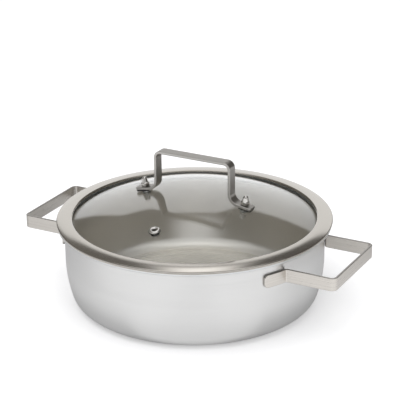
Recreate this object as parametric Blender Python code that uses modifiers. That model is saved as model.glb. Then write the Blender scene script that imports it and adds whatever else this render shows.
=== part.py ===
"""Shallow casserole pot: a three-ply stainless pot with two strap handles and a glass lid.

Metres, +Z up. The origin is the middle of the flat base, on the surface that the pot stands on.
The two side handles lie along X, and the steam vent of the lid is towards -Y.
"""

import math

import bmesh
import bpy
from mathutils import Matrix, Vector

# Clearances and fineness
GAP = 0.0003  # left between two pieces that touch
MOUTH_CLEARANCE = 0.0006  # between the skirt of the lid and the mouth of the pot
STRAP_EDGE = 0.0004  # dressed edge of the straps
TURN_STEPS = 48  # facets round a large turned piece
SMALL_STEPS = 20  # facets round a fastener, a washer or the vent
MERGE_DISTANCE = 0.00001  # joins the points of a turned piece that meet on its axis
SMOOTH_ANGLE = math.radians(35)  # edges under this angle are shaded smooth
DRESSED_ANGLE = math.radians(50)  # edges over this angle are dressed
MITRE_LIMIT = 2.0  # longest mitre of an offset line, in sheet offsets

# Pot: three bonded sheets, measured on their own thickness
POT_INNER_RADIUS = 0.1400
POT_HEIGHT = 0.0933  # from the floor that it stands on to the top of the lip
INNER_PLY = 0.0005
CORE_PLY = 0.0012
OUTER_PLY = 0.0005
LIP_WIDTH = 0.0074  # how far the lip stands out past the wall
LIP_BEND = 0.0017  # radius under the lip
BELLY_RADIUS = 0.135  # long curve of the lower wall, on its outer face
BELLY_TURN = math.radians(17)
CORNER_RADIUS = 0.018  # tighter curve into the base, on its outer face

# Side handles: a flat strap on edge, spot-welded to the wall by a tab at each end
SIDE_STRAP_HEIGHT = 0.0145
SIDE_STRAP_THICKNESS = 0.0025
SIDE_REACH = 0.0480  # wall to the outer face of the bar
SIDE_WIDTH = 0.1040  # over the outer faces of the two arms
SIDE_DROP = 0.0135  # top of the lip to the upper edge of the strap
SIDE_CORNER = 0.0065  # outer radius of the two front corners
SIDE_ROOT_BEND = 0.0030  # middle radius of the bend from arm to tab
TAB_LENGTH = 0.0265
TAB_CORNER = 0.0045

# Lid glass: a shallow dome, its height measured above the inner edge of the band
GLASS_THICKNESS = 0.0040
GLASS_RISE = 0.0255

# Rim band of the lid: one folded sheet with a crowned top, a hemmed edge and a skirt
BAND_SHEET = 0.0008
BAND_OVERHANG = 0.0011  # past the lip of the pot
CROWN_INSET = 0.0178  # outer edge to the centre of the crown's flat arc
CROWN_RADIUS = 0.0700
HEM_RADIUS = 0.0009  # middle radius of the rolled outer edge
NOSE_RADIUS = 0.0013  # middle radius of the rolled inner edge
HEM_RETURN = 0.0010  # length of the hem that is folded back under the band
NOSE_TURN = math.radians(200)  # direction in which the inner roll ends
SKIRT_DEPTH = 0.0065  # skirt below the top of the lip
GLASS_COVER = 0.0048  # skirt to the inner edge of the band
HOOK_WIDTH = 0.0034  # foot of the skirt, folded in under the glass
SEAL_WALL = 0.0012  # silicone between the skirt and the edge of the glass
SEAL_TUCK = 0.0004  # how far the seal stays back from the edge of the band

# Lid handle: a flat strap on its side, bent into a bridge with two feet
GRIP_WIDTH = 0.0126
GRIP_THICKNESS = 0.0030
GRIP_SPAN = 0.0936  # over the outer faces of the two legs
GRIP_HEIGHT = 0.0456  # crown of the glass to the top of the bar
GRIP_TOP_BEND = 0.0065  # middle radius of the upper bends
GRIP_FOOT_BEND = 0.0110  # middle radius of the lower bends
FOOT_HOLE_OFFSET = 0.0138  # outer face of a leg to the axis of its bolt
FOOT_TOE = 0.0103  # axis of the bolt to the end of the foot
FOOT_CORNER = 0.0030

# Fasteners of the lid handle, one M5 set in each foot
SHANK_RADIUS = 0.0025
SHANK_CHAMFER = 0.0005
HEAD_RADIUS = 0.0035
HEAD_HEIGHT = 0.0070
HEAD_CROWN = 0.0008  # part of the head height that is rounded
RECESS_LENGTH = 0.0042  # cross recess of the head
RECESS_WIDTH = 0.0010
RECESS_DEPTH = 0.0016
NUT_ACROSS_FLATS = 0.0090
NUT_HEX_HEIGHT = 0.0042
NUT_HEIGHT = 0.0105
NUT_DOME_RADIUS = 0.0031
NUT_THREAD_DEPTH = 0.0070
NUT_CHAMFER = 0.0008
FOOT_GASKET_THICKNESS = 0.0012
FOOT_GASKET_INSET = 0.0004  # edge of the foot to the edge of its gasket
FOOT_GASKET_HEEL = 0.0058  # axis of the bolt to the end of the gasket, towards the leg
GROMMET_RADIUS = 0.0045
GROMMET_THICKNESS = 0.0008
GROMMET_WALL = 0.0004  # collar that lines the hole in the glass
WASHER_RADIUS = 0.0042
WASHER_THICKNESS = 0.0008

# Steam vent: a steel eyelet in a silicone grommet
VENT_DISTANCE = 0.0875  # from the middle of the lid, towards -Y
VENT_BORE_RADIUS = 0.0022
VENT_TUBE_WALL = 0.0005
VENT_FLANGE_RADIUS = 0.0060
VENT_FLANGE_HEIGHT = 0.0018
VENT_FLANGE_EDGE = 0.0003  # straight edge of the flange, below its crown
VENT_SEAL_WALL = 0.0006
VENT_SEAL_FLANGE = 0.0006
VENT_SEAL_LAP = 0.0025  # upper flange of the seal beyond the hole in the glass
VENT_SEAL_BARB = 0.0006  # lower flange of the seal beyond the hole
VENT_CLINCH_HEIGHT = 0.0008

# Sizes that follow from the ones above
WALL = OUTER_PLY + GAP + CORE_PLY + GAP + INNER_PLY
POT_OUTER_RADIUS = POT_INNER_RADIUS + WALL
LIP_RADIUS = POT_OUTER_RADIUS + LIP_WIDTH
BELLY_TOP = CORNER_RADIUS + (BELLY_RADIUS - CORNER_RADIUS) * math.sin(BELLY_TURN)
LID_SEAT = POT_HEIGHT + GAP
BAND_OUTER_RADIUS = LIP_RADIUS + BAND_OVERHANG
SKIRT_OUTER_RADIUS = POT_INNER_RADIUS - MOUTH_CLEARANCE
SKIRT_INNER_RADIUS = SKIRT_OUTER_RADIUS - BAND_SHEET
SKIRT_BOTTOM = POT_HEIGHT - SKIRT_DEPTH
BAND_INNER_RADIUS = SKIRT_INNER_RADIUS - GLASS_COVER
SEAL_OUTER_RADIUS = SKIRT_INNER_RADIUS - GAP
GLASS_EDGE_RADIUS = SEAL_OUTER_RADIUS - SEAL_WALL - GAP
HOLE_RADIUS = SHANK_RADIUS + GAP
GLASS_HOLE_RADIUS = HOLE_RADIUS + GROMMET_WALL + GAP
BOLT_DISTANCE = GRIP_SPAN / 2 + FOOT_HOLE_OFFSET
VENT_TUBE_RADIUS = VENT_BORE_RADIUS + VENT_TUBE_WALL
VENT_SEAL_BORE = VENT_TUBE_RADIUS + GAP
VENT_HOLE_RADIUS = VENT_SEAL_BORE + VENT_SEAL_WALL + GAP


def arc(centre, radius, start, end, pieces):
    """Points on an arc about centre, from the angle start to the angle end."""
    angles = [start + (end - start) * step / pieces for step in range(pieces + 1)]
    return [
        (centre[0] + radius * math.cos(angle), centre[1] + radius * math.sin(angle))
        for angle in angles
    ]


def offset_line(points, distance):
    """The open line moved sideways, to the left of its direction, by a distance."""
    moved = []
    for index, point in enumerate(points):
        before = Vector(points[max(index - 1, 0)])
        after = Vector(points[min(index + 1, len(points) - 1)])
        here = Vector(point)
        into = (here - before).normalized() if index > 0 else (after - here).normalized()
        out = (after - here).normalized() if index < len(points) - 1 else into
        bisector = Vector((-(into.y + out.y), into.x + out.x)).normalized()
        stretch = min(1 / bisector.dot(Vector((-into.y, into.x))), MITRE_LIMIT)
        moved.append(tuple(here + bisector * distance * stretch))
    return moved


def material(name, colour, metallic, roughness, transmission=0.0):
    made = bpy.data.materials.new(name)
    made.use_nodes = True
    shader = made.node_tree.nodes["Principled BSDF"]
    shader.inputs["Base Color"].default_value = (*colour, 1.0)
    shader.inputs["Metallic"].default_value = metallic
    shader.inputs["Roughness"].default_value = roughness
    shader.inputs["Transmission Weight"].default_value = transmission
    return made


def add(name, mesh, finish, parent=None):
    """The named object of a mesh, in the pot's collection, with its material."""
    obj = bpy.data.objects.new(name, mesh)
    obj.data.materials.append(finish)
    parts.objects.link(obj)
    if parent:
        obj.parent = parent
        obj.matrix_parent_inverse = parent.matrix_world.inverted()
    return obj


def turned(name, outline, finish, steps=TURN_STEPS, closed=False, parent=None):
    """A turned piece. Its outline of (radius, height) points runs down the outer side."""
    mesh = bpy.data.meshes.new(name)
    shape = bmesh.new()
    verts = [shape.verts.new((radius, 0.0, height)) for radius, height in outline]
    ends = verts[1:] + verts[:1] if closed else verts[1:]
    for first, second in zip(verts, ends):
        shape.edges.new((first, second))
    shape.to_mesh(mesh)
    shape.free()
    obj = add(name, mesh, finish, parent)
    screw = obj.modifiers.new("Turn", "SCREW")
    screw.axis = "Z"
    screw.steps = steps
    screw.render_steps = steps
    screw.use_merge_vertices = True
    screw.merge_threshold = MERGE_DISTANCE
    screw.use_smooth_shade = True
    return obj


def ring(name, inner, outer, bottom, top, finish, parent=None):
    """A plain washer."""
    outline = [(inner, top), (outer, top), (outer, bottom), (inner, bottom)]
    return turned(name, outline, finish, SMALL_STEPS, closed=True, parent=parent)


def strap(name, stations, thickness, finish, parent=None):
    """A bent strap: a surface through stations of (lower, upper) points, made solid about it."""
    mesh = bpy.data.meshes.new(name)
    shape = bmesh.new()
    pairs = [(shape.verts.new(low), shape.verts.new(high)) for low, high in stations]
    for (low, high), (next_low, next_high) in zip(pairs, pairs[1:]):
        shape.faces.new((low, next_low, next_high, high))
    shape.to_mesh(mesh)
    shape.free()
    obj = add(name, mesh, finish, parent)
    shell = obj.modifiers.new("Sheet", "SOLIDIFY")
    shell.thickness = thickness
    shell.offset = 0.0
    shell.use_even_offset = True
    rounding = obj.modifiers.new("Dressed edges", "BEVEL")
    rounding.width = STRAP_EDGE
    rounding.segments = 1
    rounding.limit_method = "ANGLE"
    rounding.angle_limit = DRESSED_ANGLE
    mesh.shade_smooth()
    mesh.set_sharp_from_angle(angle=SMOOTH_ANGLE)
    return obj


def end_width(distance, half, corner):
    """Half width of a strap at a distance from its end, whose two corners are rounded."""
    if distance >= corner:
        return half
    return half - corner + math.sqrt(corner**2 - (corner - distance) ** 2)


def end_steps(corner):
    """Distances from the end of a strap at which a rounded corner gets a station."""
    angles = (0, 35, 60, 90)  # the first step leaves room for the dressed edge
    return [corner * (1 - math.cos(math.radians(angle))) for angle in angles]


def add_cutter(name, shape, frame):
    """A helper solid, out of the render, in a frame given in world space."""
    mesh = bpy.data.meshes.new(name)
    shape.to_mesh(mesh)
    shape.free()
    obj = bpy.data.objects.new(name, mesh)
    cutters.objects.link(obj)
    obj.matrix_world = frame
    obj.hide_render = True
    obj.display_type = "WIRE"
    return obj


def cylinder_cutter(name, radius, bottom, top, frame, sides=SMALL_STEPS):
    """A cylinder or prism about the Z axis of its frame."""
    shape = bmesh.new()
    bmesh.ops.create_cone(
        shape,
        cap_ends=True,
        segments=sides,
        radius1=radius,
        radius2=radius,
        depth=top - bottom,
        matrix=Matrix.Translation((0, 0, (top + bottom) / 2)),
    )
    return add_cutter(name, shape, frame)


def box_cutter(name, sides, frame):
    """A box about the middle of its frame."""
    shape = bmesh.new()
    bmesh.ops.create_cube(shape, size=1.0)
    bmesh.ops.scale(shape, vec=sides, verts=shape.verts)
    return add_cutter(name, shape, frame)


def boolean(obj, other, operation="DIFFERENCE"):
    change = obj.modifiers.new(other.name, "BOOLEAN")
    change.object = other
    change.operation = operation
    change.solver = "EXACT"


# Empty scene, with one collection for the pot and one for what cuts it
for old in list(bpy.data.objects):
    bpy.data.objects.remove(old)
parts = bpy.data.collections.new("shallow_casserole_pot")
cutters = bpy.data.collections.new("cutters")
for group in (parts, cutters):
    bpy.context.scene.collection.children.link(group)
cutters.hide_render = True

satin_steel = material("satin_stainless_steel", (0.66, 0.65, 0.63), 1.0, 0.32)
bright_steel = material("bright_stainless_steel", (0.72, 0.71, 0.69), 1.0, 0.12)
aluminium = material("aluminium", (0.80, 0.81, 0.82), 1.0, 0.45)
glass = material("tempered_glass", (0.92, 0.95, 0.93), 0.0, 0.02, transmission=1.0)
clear_silicone = material("translucent_silicone", (0.72, 0.73, 0.70), 0.0, 0.45)
dark_silicone = material("dark_silicone", (0.05, 0.05, 0.05), 0.0, 0.50)

pot = bpy.data.objects.new("pot", None)
lid = bpy.data.objects.new("lid", None)
lid.location = (0, 0, LID_SEAT)
for empty in (pot, lid):
    parts.objects.link(empty)
bpy.context.view_layer.update()


# Pot: three nested plies of one pressed sheet
def ply_side(depth):
    """The sheet at a depth below its outer face, from the edge of the lip to the axis."""
    lip_top = POT_HEIGHT - WALL + depth
    bend = (POT_OUTER_RADIUS + LIP_BEND, POT_HEIGHT - WALL - LIP_BEND)
    belly = (POT_OUTER_RADIUS - BELLY_RADIUS, BELLY_TOP)
    inset = (BELLY_RADIUS - CORNER_RADIUS) * math.cos(BELLY_TURN)
    corner = (belly[0] + inset, CORNER_RADIUS)
    return [
        (LIP_RADIUS, lip_top),
        *arc(bend, LIP_BEND + depth, math.pi / 2, math.pi, 3),
        *arc(belly, BELLY_RADIUS - depth, 0.0, -BELLY_TURN, 2),
        *arc(corner, CORNER_RADIUS - depth, -BELLY_TURN, -math.pi / 2, 4)[1:],
        (0.0, depth),
    ]


def ply(name, outer_depth, inner_depth, finish):
    outline = list(reversed(ply_side(inner_depth))) + ply_side(outer_depth)
    return turned(name, outline, finish, parent=pot)


ply("pot_outer_ply", 0.0, OUTER_PLY, satin_steel)
ply("pot_core_ply", OUTER_PLY + GAP, OUTER_PLY + GAP + CORE_PLY, aluminium)
ply("pot_inner_ply", WALL - INNER_PLY, WALL, satin_steel)


# Side handles: the strap runs from one tab, round the bar, to the other tab
def side_handle(name, side):
    half = SIDE_STRAP_HEIGHT / 2
    middle = POT_HEIGHT - SIDE_DROP - half
    arm = SIDE_WIDTH / 2 - SIDE_STRAP_THICKNESS / 2
    bar = POT_OUTER_RADIUS + SIDE_REACH - SIDE_STRAP_THICKNESS / 2
    bend = SIDE_CORNER - SIDE_STRAP_THICKNESS / 2
    tab_radius = POT_OUTER_RADIUS + GAP + SIDE_STRAP_THICKNESS / 2
    root_y = arm + SIDE_ROOT_BEND
    root_x = math.sqrt((tab_radius + SIDE_ROOT_BEND) ** 2 - root_y**2)
    root_angle = math.atan2(root_y, root_x)
    tab_angle = TAB_LENGTH / tab_radius

    line = []
    for distance in end_steps(TAB_CORNER):
        angle = root_angle + tab_angle - distance / tab_radius
        point = (tab_radius * math.cos(angle), tab_radius * math.sin(angle))
        line.append((point, end_width(distance, half, TAB_CORNER)))
    along = arc((0, 0), tab_radius, root_angle + tab_angle / 2, root_angle, 2)
    root = arc((root_x, root_y), SIDE_ROOT_BEND, root_angle + math.pi, 1.5 * math.pi, 3)
    corner = arc((bar - bend, arm - bend), bend, math.pi / 2, 0.0, 4)
    line += [(point, half) for point in along[:-1] + root + corner]
    line += [((x, -y), height) for (x, y), height in reversed(line)]

    stations = [
        ((side * x, side * y, middle - height), (side * x, side * y, middle + height))
        for (x, y), height in line
    ]
    return strap(name, stations, SIDE_STRAP_THICKNESS, satin_steel, parent=pot)


side_handle("side_handle_right", 1)
side_handle("side_handle_left", -1)

# Lid glass: two faces of one dome, with a ground edge
DOME_RADIUS = (BAND_INNER_RADIUS**2 + GLASS_RISE**2) / (2 * GLASS_RISE)
GLASS_AT_BAND = LID_SEAT + BAND_SHEET / 2 + HEM_RADIUS - GAP
DOME_CENTRE = GLASS_AT_BAND + GLASS_RISE - DOME_RADIUS


def dome_height(radius, depth=0.0):
    """Height of the glass at a radius, on its upper face or on a face that deep below it."""
    return DOME_CENTRE + math.sqrt((DOME_RADIUS - depth) ** 2 - radius**2)


def dome_frame(x, y):
    """The frame on the upper face of the glass at (x, y), with Z along its normal."""
    normal = Vector((x, y, dome_height(math.hypot(x, y)) - DOME_CENTRE)).normalized()
    turn = Vector((0, 0, 1)).rotation_difference(normal).to_matrix().to_4x4()
    return Matrix.Translation((x, y, dome_height(math.hypot(x, y)))) @ turn


def dome_line(depth, pieces=7):
    return [
        (radius, dome_height(radius, depth))
        for radius in (GLASS_EDGE_RADIUS * step / pieces for step in range(pieces + 1))
    ]


lid_glass = turned(
    "lid_glass",
    dome_line(0.0) + list(reversed(dome_line(GLASS_THICKNESS))),
    glass,
    parent=lid,
)

# Rim band: the crowned sheet with both edges rolled, and the skirt folded down from it
def band_line():
    """Middle of the sheet, from the tip of the inner roll over the crown to the hem."""
    hem = (BAND_OUTER_RADIUS - BAND_SHEET / 2 - HEM_RADIUS, LID_SEAT + BAND_SHEET / 2 + HEM_RADIUS)
    nose_radius = BAND_INNER_RADIUS + BAND_SHEET / 2 + NOSE_RADIUS
    crown_radius = BAND_OUTER_RADIUS - CROWN_INSET
    hem_reach = CROWN_RADIUS - HEM_RADIUS
    nose_reach = CROWN_RADIUS - NOSE_RADIUS
    hem_angle = math.acos((hem[0] - crown_radius) / hem_reach)
    nose_angle = math.acos((nose_radius - crown_radius) / nose_reach)
    crown = (crown_radius, hem[1] - hem_reach * math.sin(hem_angle))
    nose = (nose_radius, crown[1] + nose_reach * math.sin(nose_angle))
    return [
        *arc(nose, NOSE_RADIUS, NOSE_TURN, nose_angle, 3),
        *arc(crown, CROWN_RADIUS, nose_angle, hem_angle, 5)[1:-1],
        *arc(hem, HEM_RADIUS, hem_angle, -math.pi / 2, 3),
        (hem[0] - HEM_RETURN, hem[1] - HEM_RADIUS),
    ]


def band_outline():
    middle = band_line()
    top = offset_line(middle, BAND_SHEET / 2)
    under = offset_line(middle, -BAND_SHEET / 2)
    outside = [point for point in under if point[0] > SKIRT_OUTER_RADIUS + BAND_SHEET]
    inside = [point for point in under if point[0] < SKIRT_INNER_RADIUS - BAND_SHEET]
    join = under[len(inside)][1]
    hook = SKIRT_INNER_RADIUS - HOOK_WIDTH
    skirt = [
        (SKIRT_OUTER_RADIUS, join),
        (SKIRT_OUTER_RADIUS, SKIRT_BOTTOM),
        (hook, SKIRT_BOTTOM),
        (hook, SKIRT_BOTTOM + BAND_SHEET),
        (SKIRT_INNER_RADIUS, SKIRT_BOTTOM + BAND_SHEET),
        (SKIRT_INNER_RADIUS, join),
    ]
    return top + list(reversed(outside)) + skirt + list(reversed(inside))


band = band_outline()
turned("lid_rim_band", band, bright_steel, closed=True, parent=lid)

# Rim seal: a silicone channel round the edge of the glass
inner_roll = [
    height
    for radius, height in band
    if radius < SKIRT_INNER_RADIUS - BAND_SHEET and height > LID_SEAT
]
seal_top = min(inner_roll) - GAP
seal_bottom = SKIRT_BOTTOM + BAND_SHEET + GAP
seal_lip = BAND_INNER_RADIUS + SEAL_TUCK
seal_foot = SKIRT_INNER_RADIUS - HOOK_WIDTH
seal_groove = GLASS_EDGE_RADIUS + GAP
turned(
    "lid_rim_seal",
    [
        (seal_lip, seal_top),
        (SEAL_OUTER_RADIUS, seal_top),
        (SEAL_OUTER_RADIUS, seal_bottom),
        (seal_foot, seal_bottom),
        (seal_foot, dome_height(seal_foot, GLASS_THICKNESS) - GAP),
        (seal_groove, dome_height(seal_groove, GLASS_THICKNESS) - GAP),
        (seal_groove, dome_height(seal_groove) + GAP),
        (seal_lip, dome_height(seal_lip) + GAP),
    ],
    dark_silicone,
    closed=True,
    parent=lid,
)


# Lid handle: its feet lie along the glass, on their gaskets
FOOT_UNDERSIDE = GAP + FOOT_GASKET_THICKNESS + GAP
FOOT_TOP = FOOT_UNDERSIDE + GRIP_THICKNESS


def lid_handle_half():
    """(point, half width) from the end of the +X foot to the top bend, in the XZ plane."""
    slope = math.asin(BOLT_DISTANCE / DOME_RADIUS)
    outward = Vector((math.cos(slope), -math.sin(slope)))
    normal = Vector((math.sin(slope), math.cos(slope)))
    bolt = Vector((BOLT_DISTANCE, dome_height(BOLT_DISTANCE)))
    bolt += normal * (FOOT_UNDERSIDE + GRIP_THICKNESS / 2)
    leg = GRIP_SPAN / 2 - GRIP_THICKNESS / 2
    bar = DOME_CENTRE + DOME_RADIUS + GRIP_HEIGHT - GRIP_THICKNESS / 2
    half = GRIP_WIDTH / 2

    line = []
    for distance in end_steps(FOOT_CORNER):
        point = bolt + outward * (FOOT_TOE - distance)
        line.append((tuple(point), end_width(distance, half, FOOT_CORNER)))
    across = (leg + GRIP_FOOT_BEND - bolt.x) * normal.x
    centre = (leg + GRIP_FOOT_BEND, bolt.y + (GRIP_FOOT_BEND - across) / normal.y)
    lower = arc(centre, GRIP_FOOT_BEND, 1.5 * math.pi - slope, math.pi, 5)
    upper = arc((leg - GRIP_TOP_BEND, bar - GRIP_TOP_BEND), GRIP_TOP_BEND, 0.0, math.pi / 2, 4)
    line += [(point, half) for point in lower + upper]
    return line


half_line = lid_handle_half()
whole_line = half_line + [((-x, z), width) for (x, z), width in reversed(half_line)]
lid_handle = strap(
    "lid_handle",
    [((x, -width, z), (x, width, z)) for (x, z), width in whole_line],
    GRIP_THICKNESS,
    satin_steel,
    parent=lid,
)

# Fasteners: heights are along the bolt, from the upper face of the glass
NUT_BASE = FOOT_TOP + GAP
GROMMET_TOP = -GLASS_THICKNESS - GAP
WASHER_TOP = GROMMET_TOP - GROMMET_THICKNESS - GAP
HEAD_TOP = WASHER_TOP - WASHER_THICKNESS - GAP
SHANK_TIP = NUT_BASE + NUT_THREAD_DEPTH - GAP


def bolt(name, frame):
    """A screw with a tall round head and a cross recess, its head inside the lid."""
    head_face = HEAD_TOP - HEAD_HEIGHT
    crown = (HEAD_RADIUS**2 + HEAD_CROWN**2) / (2 * HEAD_CROWN)
    edge = math.asin(HEAD_RADIUS / crown) - math.pi / 2
    made = turned(
        name,
        [
            (0.0, SHANK_TIP),
            (SHANK_RADIUS - SHANK_CHAMFER, SHANK_TIP),
            (SHANK_RADIUS, SHANK_TIP - SHANK_CHAMFER),
            (SHANK_RADIUS, HEAD_TOP),
            (HEAD_RADIUS, HEAD_TOP),
            *arc((0.0, head_face + crown), crown, edge, -math.pi / 2, 3)[:-1],
            (0.0, head_face),
        ],
        bright_steel,
        SMALL_STEPS,
        parent=lid,
    )
    made.matrix_world = frame
    recess = frame @ Matrix.Translation((0, 0, head_face))
    for label, sides in (
        ("_recess_across", (RECESS_LENGTH, RECESS_WIDTH, 2 * RECESS_DEPTH)),
        ("_recess_along", (RECESS_WIDTH, RECESS_LENGTH, 2 * RECESS_DEPTH)),
    ):
        boolean(made, box_cutter(name + label, sides, recess))
    return made


def foot_gasket(name, side, frame):
    """A flat strip of silicone that follows the outline of the foot on it, with a bolt hole."""
    half = GRIP_WIDTH / 2 - FOOT_GASKET_INSET
    corner = FOOT_CORNER - FOOT_GASKET_INSET
    toe = FOOT_TOE - FOOT_GASKET_INSET
    heel = -FOOT_GASKET_HEEL
    outline = []
    for quarter, (x, y) in enumerate(((toe, half), (heel, half), (heel, -half), (toe, -half))):
        centre = (x - math.copysign(corner, x), y - math.copysign(corner, y))
        start = quarter * math.pi / 2
        outline += arc(centre, corner, start, start + math.pi / 2, 3)
    mesh = bpy.data.meshes.new(name)
    shape = bmesh.new()
    middle = GAP + FOOT_GASKET_THICKNESS / 2
    shape.faces.new([shape.verts.new((side * x, y, middle)) for x, y in outline])
    shape.to_mesh(mesh)
    shape.free()
    made = add(name, mesh, dark_silicone, parent=lid)
    sheet = made.modifiers.new("Sheet", "SOLIDIFY")
    sheet.thickness = FOOT_GASKET_THICKNESS
    sheet.offset = 0.0
    made.matrix_world = frame
    reach = 2 * FOOT_GASKET_THICKNESS
    boolean(made, cylinder_cutter(name + "_hole", HOLE_RADIUS, -reach, reach, frame))
    return made


def acorn_nut(name, frame):
    """A domed nut: a turned blank with a blind hole, cut to a hexagon below the dome."""
    corner = NUT_ACROSS_FLATS / math.sqrt(3)
    dome = (0.0, NUT_BASE + NUT_HEIGHT - NUT_DOME_RADIUS)
    made = turned(
        name,
        [
            (0.0, NUT_BASE + NUT_HEIGHT),
            *arc(dome, NUT_DOME_RADIUS, math.pi / 2, 0.0, 4)[1:],
            (NUT_ACROSS_FLATS / 2 - NUT_CHAMFER, NUT_BASE + NUT_HEX_HEIGHT),
            (corner, NUT_BASE + NUT_HEX_HEIGHT - NUT_CHAMFER),
            (corner, NUT_BASE),
            (HOLE_RADIUS, NUT_BASE),
            (HOLE_RADIUS, NUT_BASE + NUT_THREAD_DEPTH),
            (0.0, NUT_BASE + NUT_THREAD_DEPTH + GAP),
        ],
        bright_steel,
        SMALL_STEPS,
        parent=lid,
    )
    made.matrix_world = frame
    flats = frame @ Matrix.Rotation(math.pi / 6, 4, "Z")  # two flats along the strap
    hexagon = cylinder_cutter(name + "_hexagon", corner, 0.0, 2 * NUT_HEIGHT, flats, sides=6)
    boolean(made, hexagon, "INTERSECT")
    return made


for side, label in ((1, "right"), (-1, "left")):
    frame = dome_frame(side * BOLT_DISTANCE, 0.0)
    bolt("handle_bolt_" + label, frame)
    acorn_nut("acorn_nut_" + label, frame)
    foot_gasket("foot_gasket_" + label, side, frame)
    grommet = turned(
        "bolt_grommet_" + label,
        [
            (HOLE_RADIUS, -GAP),
            (HOLE_RADIUS + GROMMET_WALL, -GAP),
            (HOLE_RADIUS + GROMMET_WALL, GROMMET_TOP),
            (GROMMET_RADIUS, GROMMET_TOP),
            (GROMMET_RADIUS, GROMMET_TOP - GROMMET_THICKNESS),
            (HOLE_RADIUS, GROMMET_TOP - GROMMET_THICKNESS),
        ],
        clear_silicone,
        SMALL_STEPS,
        closed=True,
        parent=lid,
    )
    washer = ring(
        "backing_washer_" + label,
        HOLE_RADIUS,
        WASHER_RADIUS,
        WASHER_TOP - WASHER_THICKNESS,
        WASHER_TOP,
        bright_steel,
        parent=lid,
    )
    for piece in (grommet, washer):
        piece.matrix_world = frame
    for pierced, radius, bottom, top in (
        (lid_glass, GLASS_HOLE_RADIUS, -2 * GLASS_THICKNESS, GLASS_THICKNESS),
        (lid_handle, HOLE_RADIUS, 0.0, 2 * FOOT_TOP),
    ):
        hole = cylinder_cutter(f"{pierced.name}_hole_{label}", radius, bottom, top, frame)
        boolean(pierced, hole)

# Steam vent: heights are along its own axis, from the upper face of the glass
vent_frame = dome_frame(0.0, -VENT_DISTANCE)
vent_hole = cylinder_cutter(
    "vent_hole",
    VENT_HOLE_RADIUS,
    -2 * GLASS_THICKNESS,
    GLASS_THICKNESS,
    vent_frame,
)
boolean(lid_glass, vent_hole)

seal_collar = VENT_SEAL_BORE + VENT_SEAL_WALL
seal_flange = VENT_HOLE_RADIUS + VENT_SEAL_LAP
seal_barb = VENT_HOLE_RADIUS + VENT_SEAL_BARB
vent_seal = turned(
    "vent_seal",
    [
        (VENT_SEAL_BORE, GAP + VENT_SEAL_FLANGE),
        (seal_flange, GAP + VENT_SEAL_FLANGE),
        (seal_flange, GAP),
        (seal_collar, GAP),
        (seal_collar, -GLASS_THICKNESS - GAP),
        (seal_barb, -GLASS_THICKNESS - GAP),
        (seal_barb, -GLASS_THICKNESS - GAP - VENT_SEAL_FLANGE),
        (VENT_SEAL_BORE, -GLASS_THICKNESS - GAP - VENT_SEAL_FLANGE),
    ],
    dark_silicone,
    SMALL_STEPS,
    closed=True,
    parent=lid,
)

vent_top = GAP + VENT_SEAL_FLANGE + GAP
vent_clinch = -GLASS_THICKNESS - GAP - VENT_SEAL_FLANGE - GAP
flange_middle = (VENT_BORE_RADIUS + VENT_FLANGE_RADIUS) / 2
flange_half = (VENT_FLANGE_RADIUS - VENT_BORE_RADIUS) / 2
flange_rise = VENT_FLANGE_HEIGHT - VENT_FLANGE_EDGE
vent_eyelet = turned(
    "vent_eyelet",
    [
        *[
            (flange_middle + flange_half * across, vent_top + VENT_FLANGE_EDGE + flange_rise * up)
            for across, up in arc((0.0, 0.0), 1.0, math.pi, 0.0, 6)
        ],
        (VENT_FLANGE_RADIUS, vent_top),
        (VENT_TUBE_RADIUS, vent_top),
        (VENT_TUBE_RADIUS, vent_clinch),
        (seal_barb, vent_clinch),
        (seal_barb, vent_clinch - VENT_CLINCH_HEIGHT),
        (VENT_BORE_RADIUS, vent_clinch - VENT_CLINCH_HEIGHT),
    ],
    bright_steel,
    SMALL_STEPS,
    closed=True,
    parent=lid,
)
for piece in (vent_seal, vent_eyelet):
    piece.matrix_world = vent_frame
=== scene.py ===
import math

import bmesh
import bpy
from mathutils import Matrix, Vector


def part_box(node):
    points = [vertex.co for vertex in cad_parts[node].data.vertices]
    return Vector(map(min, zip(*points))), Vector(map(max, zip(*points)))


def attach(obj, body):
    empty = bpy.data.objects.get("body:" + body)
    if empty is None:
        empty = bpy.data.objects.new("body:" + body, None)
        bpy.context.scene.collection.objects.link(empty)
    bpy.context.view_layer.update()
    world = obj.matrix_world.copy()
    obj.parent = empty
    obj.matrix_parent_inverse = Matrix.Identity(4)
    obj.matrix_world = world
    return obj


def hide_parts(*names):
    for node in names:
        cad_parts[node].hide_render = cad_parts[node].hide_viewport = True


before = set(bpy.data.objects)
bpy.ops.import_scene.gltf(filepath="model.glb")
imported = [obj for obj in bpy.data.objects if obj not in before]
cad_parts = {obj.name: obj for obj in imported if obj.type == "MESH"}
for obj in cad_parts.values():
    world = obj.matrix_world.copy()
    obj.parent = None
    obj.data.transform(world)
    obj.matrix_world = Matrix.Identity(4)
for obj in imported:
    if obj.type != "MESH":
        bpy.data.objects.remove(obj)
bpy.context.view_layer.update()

# Camera: a long lens a little above the lid, looking past the right side handle. It was found from
# the outlines of the pot in the photograph, which is 400 pixels wide and high.
VIEW_TURN = math.radians(28.472)
VIEW_DOWN = math.radians(21.802)
VIEW_ROLL = math.radians(-0.536)
VIEW_DISTANCE = 1.67338
VIEW_FOCUS_PIXELS = 1532.262
VIEW_FRAME_PIXELS = 400
VIEW_AIM_HEIGHT = 0.113845
VIEW_AIM_SHIFT = 0.006059

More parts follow.
